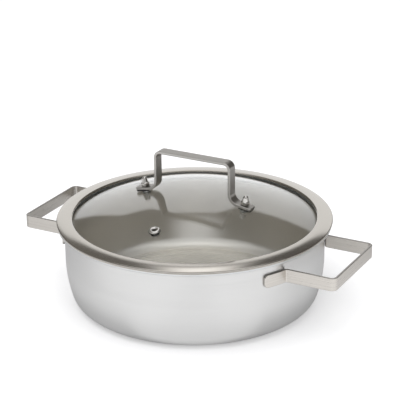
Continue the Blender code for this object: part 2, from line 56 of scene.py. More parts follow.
view_right = Vector((math.cos(VIEW_TURN), math.sin(VIEW_TURN), 0.0))
view_away = Vector((-math.sin(VIEW_TURN), math.cos(VIEW_TURN), 0.0))
view_ahead = view_away * math.cos(VIEW_DOWN) - Vector((0, 0, math.sin(VIEW_DOWN)))
camera = bpy.data.objects.new("photo_camera", bpy.data.cameras.new("photo_camera"))
bpy.context.scene.collection.objects.link(camera)
camera.data.sensor_width = 36.0
camera.data.lens = camera.data.sensor_width * VIEW_FOCUS_PIXELS / VIEW_FRAME_PIXELS
turn = Matrix((view_right, view_right.cross(view_ahead), -view_ahead)).transposed().to_4x4()
aim = view_right * VIEW_AIM_SHIFT + Vector((0, 0, VIEW_AIM_HEIGHT))
place = Matrix.Translation(aim - view_ahead * VIEW_DISTANCE)
camera.matrix_world = place @ turn @ Matrix.Rotation(VIEW_ROLL, 4, "Z")
bpy.context.scene.camera = camera
bpy.context.scene.view_settings.view_transform = "Standard"

# Studio: a white sheet as floor and backdrop in a dim room, with a wide soft box overhead, a small
# and brighter one below it and a pale panel high in front. Steel and glass are lit by what they
# mirror of the room, so it is drawn as the photograph mirrors it.
FLOOR_SIZE = 8.0
FLOOR_WHITE = (0.80, 0.80, 0.81)
FLOOR_SEEN = 0.33  # light that the floor adds where the camera sees it
# Where steel or glass mirrors the floor it is a darker sheet with a pool of light in front of the pot
# and a bright far end: (metres behind the middle of the pot, added light). The pool is brighter off to
# the sides, and the pot shades it close by, save in front: (metres from its middle, light or share).
FLOOR_MIRRORED = (0.40, 0.40, 0.405)
POOL_FRONT = ((-0.23, 0.63), (0.16, 0.03))
POOL_FAR = ((0.12, 0.10), (0.42, 0.65))
POOL_SIDES = ((0.03, 0.0), (0.09, 0.085))
POOL_SHADED = ((0.150, 0.45), (0.185, 1.0))
POOL_OPEN = 0.125
POOL_OPEN_SOFT = 0.03
DIFFUSE_LEVEL = 0.75
# Heights are in degrees up from the horizon behind the pot, over the zenith to the front. Sides are
# shares of the way from straight ahead to the right, or to the left where they are negative. A light
# has soft edges in height and to the sides.
BACKDROP_LEVELS = ((0.0, 1.06), (34.0, 1.14))
BACKDROP_TOPS = ((0.07, 36.0), (0.15, 29.6))
BACKDROP_TOP_SOFT = 3.0
BACKDROP_SIDES = (-0.285, 0.46)
BACKDROP_SOFT = 0.04
BACKDROP_LEAN = 0.0065  # how far its sides lean to the right for each degree up
BACKDROP_LEAN_FROM = 23.0
CEILING_LEFT = ((-0.30, 0.23), (0.0, 0.13))
CEILING_RIGHT = ((0.0, 0.12), (0.25, 0.15))
HIGH_FRONT = (98.0, 142.0)
HIGH_FRONT_SIDES = (-0.68, 0.68)
HIGH_FRONT_SOFT = (10.0, 0.2)
HIGH_FRONT_LEVEL = 0.76
SOFT_BOX = (52.0, 108.0)
SOFT_BOX_SIDES = (-0.33, 0.34)
SOFT_BOX_SOFT = (3.0, 0.12)
SOFT_BOX_LEVEL = 1.15
LOW_BOX = (40.0, 56.0)
LOW_BOX_SIDES = (-0.07, 0.085)
LOW_BOX_SOFT = (9.0, 0.12)
LOW_BOX_LEVEL = 1.8
FRONT_LEVEL = 0.56
FRONT_SOFT = 12.0
ROOM_LEVEL = 0.18
WARM = (1.0, 0.95, 0.88)
# The key light only lights what is matt, and gives the soft shadow on the floor.
KEY_POWER = 14.0
KEY_SIZE = 1.5
KEY_HEIGHT = 1.7
KEY_AWAY, KEY_RIGHT = -0.35, -0.30


def wire(tree, kind, inputs=(), **settings):
    """A new node with these settings, whose inputs are values or the outputs of other nodes."""
    made = tree.nodes.new("ShaderNode" + kind)
    for name, value in settings.items():
        setattr(made, name, value)
    for slot, value in inputs.items() if isinstance(inputs, dict) else enumerate(inputs):
        if isinstance(value, bpy.types.NodeSocket):
            tree.links.new(value, made.inputs[slot])
        else:
            made.inputs[slot].default_value = value
    return made


def figure(tree, operation, *inputs):
    return wire(tree, "Math", inputs, operation=operation).outputs[0]


def blend_colour(tree, share, first, second):
    """The first colour, or the second where share is 1."""
    made = wire(tree, "Mix", data_type="RGBA")
    for slot, value in ((0, share), (6, first), (7, second)):
        if isinstance(value, bpy.types.NodeSocket):
            tree.links.new(value, made.inputs[slot])
        else:
            made.inputs[slot].default_value = value if slot == 0 else (*value, 1.0)
    return made.outputs[2]


studio = bpy.data.worlds.new("studio")
studio.use_nodes = True
bpy.context.scene.world = studio
tree = studio.node_tree
tree.nodes.clear()
towards = wire(tree, "TexCoord").outputs["Generated"]
up = wire(tree, "SeparateXYZ", (towards,)).outputs[2]
away = wire(tree, "VectorMath", (towards, view_away), operation="DOT_PRODUCT").outputs[1]
side = wire(tree, "VectorMath", (towards, view_right), operation="DOT_PRODUCT").outputs[1]
rise = figure(tree, "DEGREES", figure(tree, "ARCTAN2", up, away))


def past(tree, value, limit, soft):
    """0 below a limit and 1 above it, with a soft edge."""
    ends = {"Value": value, "From Min": limit - soft / 2, "From Max": limit + soft / 2}
    return wire(tree, "MapRange", ends, interpolation_type="SMOOTHSTEP").outputs[0]


def between(tree, value, limits, soft):
    """1 between two limits and 0 outside, with soft edges."""
    return figure(
        tree, "SUBTRACT", past(tree, value, limits[0], soft), past(tree, value, limits[1], soft)
    )


def slide(tree, value, ends):
    """A level that goes straight from one (position, level) to the other."""
    (low, at_low), (high, at_high) = ends
    sizes = {"Value": value, "From Min": low, "From Max": high, "To Min": at_low, "To Max": at_high}
    return wire(tree, "MapRange", sizes).outputs[0]


def lamp(tree, level, colour=(1.0, 1.0, 1.0)):
    """A colour at a level of light."""
    return wire(tree, "VectorMath", {0: colour, "Scale": level}, operation="SCALE").outputs[0]


backdrop = lamp(tree, slide(tree, rise, BACKDROP_LEVELS))
leaning = figure(tree, "MULTIPLY_ADD", rise, -BACKDROP_LEAN, side)
ends = tuple(end - BACKDROP_LEAN * BACKDROP_LEAN_FROM for end in BACKDROP_SIDES)
room = tuple(ROOM_LEVEL * share for share in WARM)
ceiling = figure(tree, "MAXIMUM", slide(tree, side, CEILING_LEFT), slide(tree, side, CEILING_RIGHT))
ceiling = lamp(tree, ceiling, WARM)
sky = blend_colour(tree, between(tree, leaning, ends, BACKDROP_SOFT), room, backdrop)
top = slide(tree, figure(tree, "ABSOLUTE", side), BACKDROP_TOPS)
over = past(tree, figure(tree, "SUBTRACT", rise, top), 0.0, BACKDROP_TOP_SOFT)
sky = blend_colour(tree, over, sky, ceiling)
sky = blend_colour(tree, past(tree, rise, HIGH_FRONT[1], FRONT_SOFT), sky, (FRONT_LEVEL,) * 3)
for limits, sides, soft, level in (
    (HIGH_FRONT, HIGH_FRONT_SIDES, HIGH_FRONT_SOFT, HIGH_FRONT_LEVEL),
    (SOFT_BOX, SOFT_BOX_SIDES, SOFT_BOX_SOFT, SOFT_BOX_LEVEL),
    (LOW_BOX, LOW_BOX_SIDES, LOW_BOX_SOFT, LOW_BOX_LEVEL),
):
    box = between(tree, rise, limits, soft[0])
    box = figure(tree, "MULTIPLY", box, between(tree, side, sides, soft[1]))
    sky = blend_colour(tree, box, sky, (level,) * 3)
rays = wire(tree, "LightPath").outputs
sky = blend_colour(tree, rays["Is Diffuse Ray"], sky, (DIFFUSE_LEVEL,) * 3)
sky = blend_colour(tree, rays["Is Camera Ray"], sky, (1.0, 1.0, 1.0))
lit = wire(tree, "Background", (sky,))
tree.links.new(lit.outputs[0], wire(tree, "OutputWorld").inputs[0])

key = bpy.data.objects.new("key_light", bpy.data.lights.new("key_light", "AREA"))
bpy.context.scene.collection.objects.link(key)
key.data.size = KEY_SIZE
key.data.energy = KEY_POWER
key.location = view_away * KEY_AWAY + view_right * KEY_RIGHT + Vector((0, 0, KEY_HEIGHT))
key.rotation_euler = (-key.location).to_track_quat("-Z", "Y").to_euler()
key.visible_camera = False
key.visible_glossy = False
key.visible_transmission = False

floor_mesh = bpy.data.meshes.new("studio_floor")
shape = bmesh.new()
bmesh.ops.create_grid(shape, x_segments=1, y_segments=1, size=FLOOR_SIZE / 2)
shape.to_mesh(floor_mesh)
shape.free()
studio_floor = bpy.data.objects.new("studio_floor", floor_mesh)
bpy.context.scene.collection.objects.link(studio_floor)
white_sheet = bpy.data.materials.new("white_sheet")
white_sheet.use_nodes = True
tree = white_sheet.node_tree
tree.nodes.clear()
rays = wire(tree, "LightPath").outputs
mirrored = figure(tree, "MAXIMUM", rays["Is Glossy Ray"], rays["Is Transmission Ray"])
place = wire(tree, "TexCoord").outputs["Object"]
behind = wire(tree, "VectorMath", (place, view_away), operation="DOT_PRODUCT").outputs[1]
right = wire(tree, "VectorMath", (place, view_right), operation="DOT_PRODUCT").outputs[1]
reach = wire(tree, "VectorMath", (place,), operation="LENGTH").outputs[1]
pool = slide(tree, figure(tree, "ABSOLUTE", right), POOL_SIDES)
pool = figure(tree, "ADD", pool, slide(tree, behind, POOL_FRONT))
in_front = past(tree, figure(tree, "MULTIPLY", behind, -1.0), POOL_OPEN, POOL_OPEN_SOFT)
shade = figure(tree, "MAXIMUM", slide(tree, reach, POOL_SHADED), in_front)
pool = figure(tree, "MULTIPLY", pool, shade)
pool = figure(tree, "MAXIMUM", pool, slide(tree, behind, POOL_FAR))
added = figure(tree, "MULTIPLY", rays["Is Camera Ray"], FLOOR_SEEN)
added = figure(tree, "MULTIPLY_ADD", mirrored, pool, added)
white = wire(tree, "BsdfDiffuse", (blend_colour(tree, mirrored, FLOOR_WHITE, FLOOR_MIRRORED),))
glow = wire(tree, "Emission", {"Strength": added})
whole = wire(tree, "AddShader", (white.outputs[0], glow.outputs[0]))
tree.links.new(whole.outputs[0], wire(tree, "OutputMaterial").inputs[0])
floor_mesh.materials.append(white_sheet)

# Pot: one pressed blank of three bonded sheets, steel outside, an aluminium core and steel inside.
# It is spun to shape with a turned-out lip, and brushed round its axis inside and out.
WALL = 0.0028
POT_OUTER_RADIUS = 0.1428
LIP_BEND = 0.0017
BELLY_RADIUS = 0.135
BELLY_TURN = math.radians(17)
CORNER_RADIUS = 0.018
OUTER_SHEET_DEPTH = 0.00064  # each sheet reaches to the next one, with a hair between them
CORE_DEPTH = 0.00214
HAIR = 0.00002
LIP_EASE = 0.00025
POT_STEPS = 288
OUTER_TINT = (0.76, 0.76, 0.755)
# The inner tints are lighter and warmer than the steel outside: painted warm light inside the pot,
# less of it on the floor than on the walls.
INNER_PAINTED_LIGHT_TINT = (0.89, 0.855, 0.80)
INNER_FLOOR_PAINTED_LIGHT_TINT = (0.78, 0.745, 0.69)
CORE_TINT = (0.80, 0.81, 0.82)
SHARP = math.radians(32)
EASE_ROOM = 2.1  # an edge is at least this many times as long as what its easing takes off one end
FLOOR_TOP = 0.0034  # where the finish of the floor inside ends
FLOOR_RING = 0.06  # radius of a ring of points in the flat of the floor
BRUSH_LINES = 900  # brush lines for each metre, round the axis
STRAP_LINES = 1400  # and across a strap
STRAP_DRAW = 18  # marks for each metre along a strap
TANGENT_SKEW = 0.04  # keeps the direction of the brushing off the normals of the faces
BRUSH_DEPTH = 0.0000015
LINE_UNEVEN = 0.28  # how far roughness varies from line to line, as a share of it
CLOUD_UNEVEN = 0.2  # and from place to place

lip_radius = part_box("pot_outer_ply")[1].x
pot_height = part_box("pot_inner_ply")[1].z
belly_top = CORNER_RADIUS + (BELLY_RADIUS - CORNER_RADIUS) * math.sin(BELLY_TURN)


def arc(centre, radius, start, end, pieces):
    """Points on an arc about centre, from the angle start to the angle end."""
    angles = [start + (end - start) * step / pieces for step in range(pieces + 1)]
    return [
        (centre[0] + radius * math.cos(angle), centre[1] + radius * math.sin(angle))
        for angle in angles
    ]


def eased(outline, radius, pieces=4):
    """The closed outline with its sharp corners rounded, except those on the axis."""
    made = []
    for index, point in enumerate(outline):
        here = Vector(point)
        into = here - Vector(outline[index - 1])
        out = Vector(outline[(index + 1) % len(outline)]) - here
        if here.x < HAIR or into.angle(out) < SHARP:
            made.append(point)
            continue
        room = min(into.length, out.length) / EASE_ROOM
        reach = min(radius * math.tan(into.angle(out) / 2), room)
        start, end = here - into.normalized() * reach, here + out.normalized() * reach
        for step in range(pieces + 1):
            share = step / pieces
            bent = start * (1 - share) ** 2 + here * 2 * share * (1 - share) + end * share**2
            made.append(tuple(bent))
    return made


def finished(name, shape, *finishes, body, stands_for, slot, at=None, even=True):
    """The piece of a bmesh, smooth between its sharp edges, in place on its body."""
    mesh = bpy.data.meshes.new(name)
    bmesh.ops.recalc_face_normals(shape, faces=shape.faces)
    shape.to_mesh(mesh)
    shape.free()
    for finish in finishes:
        mesh.materials.append(finish)
    mesh.shade_smooth()
    mesh.set_sharp_from_angle(angle=SHARP)
    piece = bpy.data.objects.new(name, mesh)
    bpy.context.scene.collection.objects.link(piece)
    if at is not None:
        piece.matrix_world = at
    if even:
        piece.modifiers.new("Even shading", "WEIGHTED_NORMAL").keep_sharp = True
    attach(piece, body)
    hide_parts(stands_for)
    return piece


def turned_shape(outline, steps):
    """The shape that a closed outline of (radius, height) points makes when it is turned."""
    shape = bmesh.new()
    verts = [shape.verts.new((radius, 0.0, height)) for radius, height in outline]
    pairs = [pair for pair in zip(verts, verts[1:] + verts[:1]) if max(v.co.x for v in pair) > HAIR]
    edges = [shape.edges.new(pair) for pair in pairs]
    bmesh.ops.spin(
        shape,
        geom=verts + edges,
        cent=(0, 0, 0),
        axis=(0, 0, 1),
        dvec=(0, 0, 0),
        angle=2 * math.pi,
        steps=steps,
        use_merge=True,
        use_duplicate=False,
    )
    bmesh.ops.remove_doubles(shape, verts=shape.verts, dist=HAIR / 10)
    bmesh.ops.dissolve_degenerate(shape, edges=shape.edges, dist=HAIR / 10)
    return shape


def new_finish(name):
    """A new material, its nodes, its shader and the place that is shaded, as the piece has it."""
    made = bpy.data.materials.new(name)
    made.use_nodes = True
    tree = made.node_tree
    return made, tree, tree.nodes["Principled BSDF"], wire(tree, "TexCoord").outputs["Object"]


def from_axis(tree, place):
    """The way from the Z axis to a place, and its length."""
    way = wire(tree, "VectorMath", (place, (1.0, 1.0, 0.0)), operation="MULTIPLY").outputs[0]
    return way, wire(tree, "VectorMath", (way,), operation="LENGTH").outputs[1]


def brushed_steel(name, tint, roughness, spread, across=None, lines=1.0, streaks=0.01, relief=1.0):
    """Steel with fine brush lines: round the Z axis, or along a strap that is measured across.

    Its gleam is drawn out across the lines, by spread, and the lines differ in colour by streaks."""
    made, tree, shader, place = new_finish(name)
    noise = {"Scale": 1.0, "Detail": 3.0, "Roughness": 0.65}
    if across is None:
        way, radius = from_axis(tree, place)
        spoke = wire(tree, "VectorMath", (way,), operation="NORMALIZE").outputs[0]
        height = wire(tree, "SeparateXYZ", (place,)).outputs[2]
        level = figure(tree, "MULTIPLY", height, BRUSH_LINES * lines)
        level = wire(tree, "CombineXYZ", (0.0, 0.0, level)).outputs[0]
        spoke = wire(tree, "VectorMath", (spoke, level), operation="ADD").outputs[0]
        out = figure(tree, "MULTIPLY", radius, BRUSH_LINES * lines)
        grain = wire(tree, "TexNoise", {"Vector": spoke, "W": out, **noise}, noise_dimensions="4D")
        sideways = wire(tree, "Tangent", direction_type="RADIAL", axis="Z").outputs[0]
        shader.inputs["Anisotropic Rotation"].default_value = 0.25
    else:
        stretch = tuple(STRAP_DRAW + STRAP_LINES * lines * share for share in across)
        drawn = wire(tree, "VectorMath", (place, stretch), operation="MULTIPLY").outputs[0]
        grain = wire(tree, "TexNoise", {"Vector": drawn, **noise})
        skewed = tuple(share + TANGENT_SKEW for share in across)
        turning = {"vector_type": "VECTOR", "convert_from": "OBJECT", "convert_to": "WORLD"}
        sideways = wire(tree, "VectorTransform", (skewed,), **turning).outputs[0]
    grain = grain.outputs[0]
    cloud = wire(tree, "TexNoise", {"Vector": place, "Scale": 16.0, "Detail": 3.0}).outputs[0]
    streak = wire(tree, "MapRange", {"Value": grain, "From Min": 0.3, "From Max": 0.7}).outputs[0]
    least = roughness * (1 - LINE_UNEVEN / 2 - CLOUD_UNEVEN / 2)
    dull = figure(tree, "MULTIPLY_ADD", streak, roughness * LINE_UNEVEN, least)
    dull = figure(tree, "MULTIPLY_ADD", cloud, roughness * CLOUD_UNEVEN, dull)
    dark = tuple(share * (1 - streaks) for share in tint)
    light = tuple(share * (1 + streaks) for share in tint)
    tree.links.new(blend_colour(tree, streak, dark, light), shader.inputs["Base Color"])
    tree.links.new(dull, shader.inputs["Roughness"])
    bump = wire(tree, "Bump", {"Strength": 0.6, "Distance": BRUSH_DEPTH * relief, "Height": grain})
    tree.links.new(bump.outputs[0], shader.inputs["Normal"])
    tree.links.new(sideways, shader.inputs["Tangent"])
    shader.inputs["Metallic"].default_value = 1.0
    shader.inputs["Anisotropic"].default_value = spread
    return made


def sheet_side(depth):
    """A sheet at a depth below its outer face, from the edge of the lip to the axis."""
    lip_top = pot_height - WALL + depth
    bend = (POT_OUTER_RADIUS + LIP_BEND, pot_height - WALL - LIP_BEND)
    belly = (POT_OUTER_RADIUS - BELLY_RADIUS, belly_top)
    inset = (BELLY_RADIUS - CORNER_RADIUS) * math.cos(BELLY_TURN)
    corner = (belly[0] + inset, CORNER_RADIUS)
    return [
        (lip_radius, lip_top),
        *arc(bend, LIP_BEND + depth, math.pi / 2, math.pi, 10),
        *arc(belly, BELLY_RADIUS - depth, 0.0, -BELLY_TURN, 12),
        *arc(corner, CORNER_RADIUS - depth, -BELLY_TURN, -math.pi / 2, 18)[1:],
        (FLOOR_RING, depth),
        (0.0, depth),
    ]


outer_steel = brushed_steel("brushed_outer_steel", OUTER_TINT, roughness=0.33, spread=0.82)
# The inside is tinted with painted warm light, the floor less than the walls.
inner_steel = brushed_steel(
    "brushed_inner_steel_painted_light", INNER_PAINTED_LIGHT_TINT, roughness=0.38, spread=0.3, relief=0.5
)
inner_floor = brushed_steel(
    "turned_inner_floor_painted_light", INNER_FLOOR_PAINTED_LIGHT_TINT, roughness=0.27, spread=0.0, relief=0.5
)
core_metal = brushed_steel("rolled_aluminium_core", CORE_TINT, roughness=0.45, spread=0.3)
for name, stands_for, outer, inner, finish, slot in (
    ("outer_sheet", "pot_outer_ply", 0.0, OUTER_SHEET_DEPTH, outer_steel, "satin_steel"),
    ("core_sheet", "pot_core_ply", OUTER_SHEET_DEPTH + HAIR, CORE_DEPTH, core_metal, "aluminium_core"),
    ("inner_sheet", "pot_inner_ply", CORE_DEPTH + HAIR, WALL, inner_steel, "satin_steel"),
):
    outline = eased(list(reversed(sheet_side(inner))) + sheet_side(outer), LIP_EASE)
    shape = turned_shape(outline, POT_STEPS)
    finishes = [finish]
    # The floor faces get their own finish, with less painted warm light in its tint.
    if stands_for == "pot_inner_ply":
        finishes.append(inner_floor)
        for face in shape.faces:
            face.material_index = int(all(vert.co.z < FLOOR_TOP for vert in face.verts))
    finished(name, shape, *finishes, body="pot", stands_for=stands_for, slot=slot)

# Side handles: each is one flat steel strap set on edge and bent into a bracket, with a tab at each
# end that is spot-welded to the wall. The faces are brushed along the strap, the edges are tumbled.
# The faces are tinted warmer than the steel is, a painted warm reflection, and the edges darker, a
# painted shade.
SIDE_STRAP_THICKNESS = 0.0025
SIDE_CORNER = 0.0065
SIDE_ROOT_BEND = 0.0030
SIDE_WIDTH = 0.1040
WELD_GAP = 0.0003
TAB_LENGTH = 0.0265
TAB_CORNER = 0.0045
STRAP_EASE = 0.0006
STRAP_FULLEST = 0.96  # greatest rounding of an edge, as a share of half the thickness
STRAP_SIDE = 0.35  # faces that look further sideways than this are the edges of a strap
# Face tint: a painted warm reflection. Edge tint: a painted shade.
STRAP_PAINTED_WARM_TINT = (0.65, 0.62, 0.58)
STRAP_EDGE_PAINTED_SHADE_TINT = (0.36, 0.345, 0.325)


def rounded_box(low_x, high_x, half_y, corner, pieces, grown=0.0):
    """A rectangle with rounded corners, grown all round, as (x, y) points."""
    corners = ((high_x, half_y), (low_x, half_y), (low_x, -half_y), (high_x, -half_y))
    points = []
    for quarter, (x, y) in enumerate(corners):
        centre = (x - math.copysign(corner, x), y - math.copysign(corner, y))
        start = quarter * math.pi / 2
        points += arc(centre, corner + grown, start, start + math.pi / 2, pieces)
    return points


def skin(shape, rings):
    """Faces from each ring of points to the next one, and over both ends."""
    for ring, following in zip(rings, rings[1:]):
        for index in range(len(ring)):
            shape.faces.new((ring[index - 1], ring[index], following[index], following[index - 1]))
    shape.faces.new(rings[0])
    shape.faces.new(rings[-1])


def strap_end(distance, corner, half_width, half_thickness):
    """Half width and half thickness at a distance from the rounded end of a strap."""
    if distance < corner:
        half_width -= corner - math.sqrt(corner**2 - (corner - distance) ** 2)
    if distance < STRAP_EASE:
        worn = STRAP_EASE - math.sqrt(STRAP_EASE**2 - (STRAP_EASE - distance) ** 2)
        half_width -= worn
        half_thickness -= worn
    return half_width, half_thickness


def strap_end_distances(corner):
    """Distances from the end of a strap at which its rounding gets a section."""
    eases = [STRAP_EASE * (1 - math.cos(math.radians(angle))) for angle in (0, 20, 40, 65, 90)]
    corners = [corner * (1 - math.cos(math.radians(angle))) for angle in range(40, 91, 10)]
    return eases + corners


def strap_shape(stations, place):
    """A strap through sections at (point, half width, half thickness); place gives (x, y, z)."""
    shape = bmesh.new()
    rings = []
    for index, (point, half_width, half_thickness) in enumerate(stations):
        before = Vector(stations[max(index - 1, 0)][0])
        after = Vector(stations[min(index + 1, len(stations) - 1)][0])
        run = (after - before).normalized()
        outward = Vector((run.y, -run.x))
        ease = min(STRAP_EASE, half_thickness * STRAP_FULLEST)
        ring = []
        for over, through in rounded_box(-half_width, half_width, half_thickness, ease, 4):
            x, y = Vector(point) + outward * through
            ring.append(shape.verts.new(place(x, y, over)))
        rings.append(ring)
    skin(shape, rings)
    return shape


def mark_edges(shape, across):
    """The narrow sides of a strap get its second finish, and with it a painted tint for the edges."""
    bmesh.ops.recalc_face_normals(shape, faces=shape.faces)
    for face in shape.faces:
        if abs(face.normal.dot(Vector(across))) > STRAP_SIDE:
            face.material_index = 1


strap_marks = {"spread": 0.6, "lines": 0.4, "streaks": 0.08}
edge_marks = {"spread": 0.0, "lines": 0.3}
# The faces of the side straps carry a painted warm reflection, their edges a painted shade.
side_steel = brushed_steel(
    "brushed_side_handle_steel", STRAP_PAINTED_WARM_TINT, roughness=0.30, across=(0, 0, 1), **strap_marks
)
side_edge_steel = brushed_steel(
    "tumbled_side_handle_edge_painted_shade", STRAP_EDGE_PAINTED_SHADE_TINT, roughness=0.34, **edge_marks
)
for sign, label in ((1, "right"), (-1, "left")):
    low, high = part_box("side_handle_" + label)
    middle = (low.z + high.z) / 2
    half = (high.z - low.z) / 2
    thin = SIDE_STRAP_THICKNESS / 2
    bar = max(abs(low.x), abs(high.x)) - thin
    arm = SIDE_WIDTH / 2 - thin
    bend = SIDE_CORNER - thin
    tab_radius = POT_OUTER_RADIUS + WELD_GAP + thin
    root_y = arm + SIDE_ROOT_BEND
    root_x = math.sqrt((tab_radius + SIDE_ROOT_BEND) ** 2 - root_y**2)
    root_angle = math.atan2(root_y, root_x)
    tab_angle = TAB_LENGTH / tab_radius
    stations = []
    for distance in strap_end_distances(TAB_CORNER):
        angle = root_angle + tab_angle - distance / tab_radius
        point = (tab_radius * math.cos(angle), tab_radius * math.sin(angle))
        stations.append((point, *strap_end(distance, TAB_CORNER, half, thin)))
    start = root_angle + tab_angle - TAB_CORNER / tab_radius
    line = arc((0, 0), tab_radius, start, root_angle, 10)[1:]
    line += arc((root_x, root_y), SIDE_ROOT_BEND, root_angle + math.pi, 1.5 * math.pi, 10)[1:]
    line += arc((bar - bend, arm - bend), bend, math.pi / 2, 0.0, 14)
    stations += [(point, half, thin) for point in line]
    stations += [((x, -y), *sizes) for (x, y), *sizes in reversed(stations)]
    shape = strap_shape(stations, lambda x, y, over: (sign * x, sign * y, middle + over))
    mark_edges(shape, (0, 0, 1))
    finished(
        label + "_side_handle",
        shape,
        side_steel,
        side_edge_steel,
        body="pot",
        stands_for="side_handle_" + label,
        slot="satin_steel",
    )

# Lid glass: a shallow dome of clear tempered glass with a ground edge. It is drilled for the two
# bolts of the handle and for the steam vent before it is tempered.
GLASS_THICKNESS = 0.0040
GLASS_RISE = 0.0255
BAND_INNER_RADIUS = 0.1338
GLASS_HOLE_RADIUS = 0.0035
VENT_HOLE_RADIUS = 0.0039
VENT_DISTANCE = 0.0875
BOLT_DISTANCE = 0.0606
GLASS_EASE = 0.0012
GLASS_STEPS = 256
GLASS_WIPED = 0.012  # roughness of the dullest wiping marks
GLASS_GROUND = 0.4  # and of the ground edge
DRILL_STEPS = 72
GLASS_TINT = (0.955, 0.965, 0.955)
GLASS_EDGE_TINT = (0.62, 0.80, 0.72)

glass_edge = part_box("lid_glass")[1].x
dome_radius = (BAND_INNER_RADIUS**2 + GLASS_RISE**2) / (2 * GLASS_RISE)
dome_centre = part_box("lid_glass")[1].z - dome_radius


def dome_height(radius, depth=0.0):
    """Height of the glass at a radius, on its upper face or on a face that deep below it."""
    return dome_centre + math.sqrt((dome_radius - depth) ** 2 - radius**2)


def dome_frame(x, y):
    """The frame on the upper face of the glass at (x, y), with Z along its normal."""
    foot = Vector((x, y, dome_height(math.hypot(x, y))))
    normal = (foot - Vector((0, 0, dome_centre))).normalized()
    turn = Vector((0, 0, 1)).rotation_difference(normal).to_matrix().to_4x4()
    return Matrix.Translation(foot) @ turn


def dome_line(depth, edge, pieces=44):
    radii = [edge * step / pieces for step in range(pieces + 1)]
    return [(radius, dome_height(radius, depth)) for radius in radii]


def drill(at, radius, reach):
    """A round cutter on the frame at, that reaches so far each way."""
    shape = bmesh.new()
    sizes = {"radius1": radius, "radius2": radius, "depth": 2 * reach}
    bmesh.ops.create_cone(shape, cap_ends=True, segments=DRILL_STEPS, matrix=at, **sizes)
    return shape


def carved(shape, cutters):
    """The shape with other shapes cut out of it."""
    objects = []
    for source in (shape, *cutters):
        mesh = bpy.data.meshes.new("carving")
        bmesh.ops.recalc_face_normals(source, faces=source.faces)
        source.to_mesh(mesh)
        source.free()
        objects.append(bpy.data.objects.new("carving", mesh))
        bpy.context.scene.collection.objects.link(objects[-1])
    for cutter in objects[1:]:
        cut = objects[0].modifiers.new("Cut", "BOOLEAN")
        cut.object = cutter
        cut.solver = "EXACT"
    graph = bpy.context.evaluated_depsgraph_get()
    made = bmesh.new()
    made.from_mesh(objects[0].evaluated_get(graph).to_mesh())
    for leftover in objects:
        mesh = leftover.data
        bpy.data.objects.remove(leftover)
        bpy.data.meshes.remove(mesh)
    return made


def follow_dome(piece):
    """Both faces of the glass are shaded as the exact spheres that they are."""
    mesh = piece.data
    centre = Vector((0, 0, dome_centre))
    normals = [corner.vector.copy() for corner in mesh.corner_normals]
    for face in mesh.polygons:
        spokes = [mesh.vertices[index].co - centre for index in face.vertices]
        for radius, way in ((dome_radius, 1), (dome_radius - GLASS_THICKNESS, -1)):
            if all(abs(spoke.length - radius) < HAIR for spoke in spokes):
                for corner, spoke in zip(face.loop_indices, spokes):
                    normals[corner] = way * spoke.normalized()
    mesh.normals_split_custom_set(normals)


def clear_glass():
    made, tree, shader, place = new_finish("tempered_clear_glass")
    radius = from_axis(tree, place)[1]
    ground = past(tree, radius, glass_edge - GLASS_EASE / 2, GLASS_EASE / 4)
    wiped = wire(tree, "TexNoise", {"Vector": place, "Scale": 22.0, "Detail": 4.0}).outputs[0]
    wiped = wire(
        tree, "MapRange", {"Value": wiped, "From Min": 0.45, "From Max": 0.8, "To Max": GLASS_WIPED}
    ).outputs[0]
    rough = figure(tree, "MULTIPLY_ADD", ground, GLASS_GROUND, wiped)
    tint = blend_colour(tree, ground, GLASS_TINT, GLASS_EDGE_TINT)
    tree.links.new(tint, shader.inputs["Base Color"])
    tree.links.new(rough, shader.inputs["Roughness"])
    shader.inputs["Transmission Weight"].default_value = 1.0
    shader.inputs["IOR"].default_value = 1.5
    lamps = wire(tree, "LightPath").outputs["Is Shadow Ray"]
    clear = wire(tree, "BsdfTransparent", {"Color": (*GLASS_TINT, 1.0)}).outputs[0]
    both = wire(tree, "MixShader", (lamps, shader.outputs[0], clear)).outputs[0]
    tree.links.new(both, tree.nodes["Material Output"].inputs["Surface"])
    return made


outline = dome_line(0.0, glass_edge) + list(reversed(dome_line(GLASS_THICKNESS, glass_edge)))
blank = turned_shape(eased(outline, GLASS_EASE, 6), GLASS_STEPS)
holes = [drill(dome_frame(0.0, -VENT_DISTANCE), VENT_HOLE_RADIUS, 3 * GLASS_THICKNESS)]
for sign in (1, -1):
    at = dome_frame(sign * BOLT_DISTANCE, 0.0)
    holes.append(drill(at, GLASS_HOLE_RADIUS, 3 * GLASS_THICKNESS))
domed_glass = finished(
    "domed_glass",
    carved(blank, holes),
    clear_glass(),
    body="lid",
    stands_for="lid_glass",
    slot="tempered_glass",
    even=False,
)
follow_dome(domed_glass)

# Rim band: one stainless sheet spun into a ring with a low crown, its outer edge hemmed and its inner
# edge rolled, with a skirt that centres the lid in the mouth. It is brushed round and half polished.
BAND_SHEET = 0.0008
CROWN_INSET = 0.0178
CROWN_RADIUS = 0.0700
HEM_RADIUS = 0.0009
NOSE_RADIUS = 0.0013
HEM_RETURN = 0.0010
NOSE_TURN = math.radians(200)
GLASS_COVER = 0.0048
HOOK_WIDTH = 0.0034
SEAT_GAP = 0.0003
BAND_EASE = 0.00025
# Darker and warmer than the pot's own steel: painted shade and a painted warm reflection on the band.
BAND_PAINTED_SHADE_TINT = (0.505, 0.48, 0.442)

lid_seat = pot_height + SEAT_GAP
band_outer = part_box("lid_rim_band")[1].x
skirt_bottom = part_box("lid_rim_band")[0].z
skirt_inner = BAND_INNER_RADIUS + GLASS_COVER
skirt_outer = skirt_inner + BAND_SHEET


